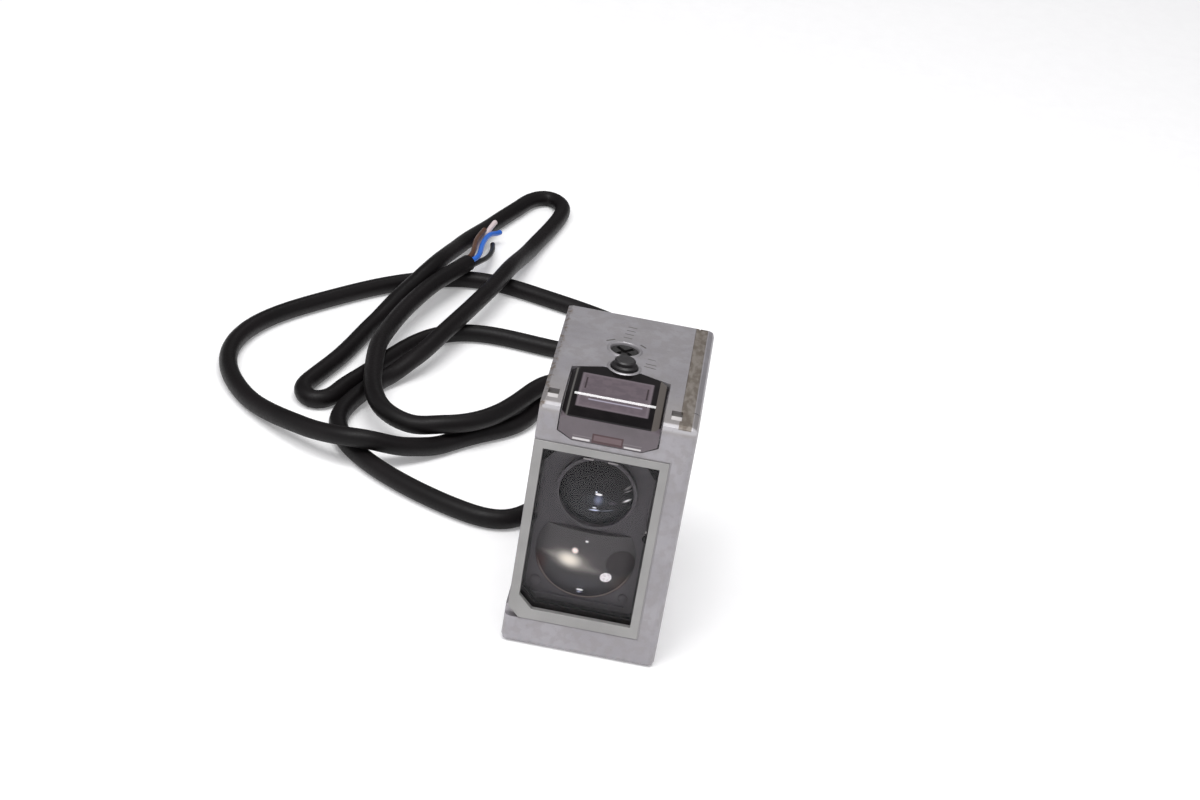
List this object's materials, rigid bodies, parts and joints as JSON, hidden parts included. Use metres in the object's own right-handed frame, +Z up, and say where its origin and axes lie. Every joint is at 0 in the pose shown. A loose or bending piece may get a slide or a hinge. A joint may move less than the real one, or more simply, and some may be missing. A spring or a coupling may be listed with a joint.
{
  "type": "photoelectric sensor",
  "caption": "Square-bodied photoelectric sensor with a framed lens window, a display cover, a push button, a rotary dial and a free rear cable with a stripped end.",
  "frame": {"origin": "middle of the housing's footprint, on the surface it stands on", "axes": "+Z up, the lenses look along -Y, +X is to the right when facing the lenses, the cable leaves along +Y"},
  "size_m": [0.1312, 0.2633, 0.0651],
  "materials": {
    "die_cast": "satin die-cast metal, lightly textured",
    "satin_frame": "fine satin",
    "steel": "bright",
    "tinted_window": "clear tinted pane",
    "lens": "polished",
    "dark_plastic": "matt moulded",
    "smoked_cover": "glossy smoked",
    "indicator": "diffusing light pipe",
    "black_button": "satin black",
    "rubber": "matt",
    "circuit_board": "solder mask",
    "component": "moulded package",
    "cable_sheath": "satin flexible sheath",
    "blue_core": "satin insulation",
    "brown_core": "satin insulation",
    "black_core": "satin insulation",
    "white_core": "satin insulation"
  },
  "bodies": {
    "housing": {"button_ring": "steel", "button_seal": "rubber", "cable": "cable_sheath", "cable_gland": "dark_plastic", "core_black": "black_core", "core_blue": "blue_core", "core_brown": "brown_core", "core_white": "white_core", "cover_gasket": "rubber", "cover_screw_1": "steel", "cover_screw_2": "steel", "cover_screw_3": "steel", "cover_screw_4": "steel", "dial_bezel": "steel", "dial_seal": "rubber", "display_board": "circuit_board", "display_cover": "smoked_cover", "display_module": "component", "front_window": "tinted_window", "laser_diode": "steel", "lens_plate": "dark_plastic", "main_board": "circuit_board", "main_housing": "die_cast", "mounting_sleeve_lower": "steel", "mounting_sleeve_upper": "steel", "optics_holder": "dark_plastic", "output_indicator": "indicator", "receiver_board": "circuit_board", "receiver_diode": "component", "receiver_lens": "lens", "selector_switch": "component", "side_cover": "die_cast", "strain_relief": "rubber", "tact_switch": "component", "transmitter_lens": "lens", "transmitter_ring": "dark_plastic", "window_bezel": "satin_frame", "window_gasket": "rubber"},
    "button": {"push_button": "black_button"},
    "dial": {"trimmer_dial": "black_button"}
  },
  "joints": [
    {"name": "button_press", "type": "slide", "parent": "housing", "child": "button", "axis": [0, 0, -1], "range_m": [0, 0.0003], "stiffness_N_per_m": 2000, "springref_m": -0.0004},
    {"name": "dial_turn", "type": "hinge", "parent": "housing", "child": "dial", "pos_m": [-0.002, 0.0069, 0.062], "axis": [0, 0, 1], "range_deg": [-120, 120]}
  ]
}
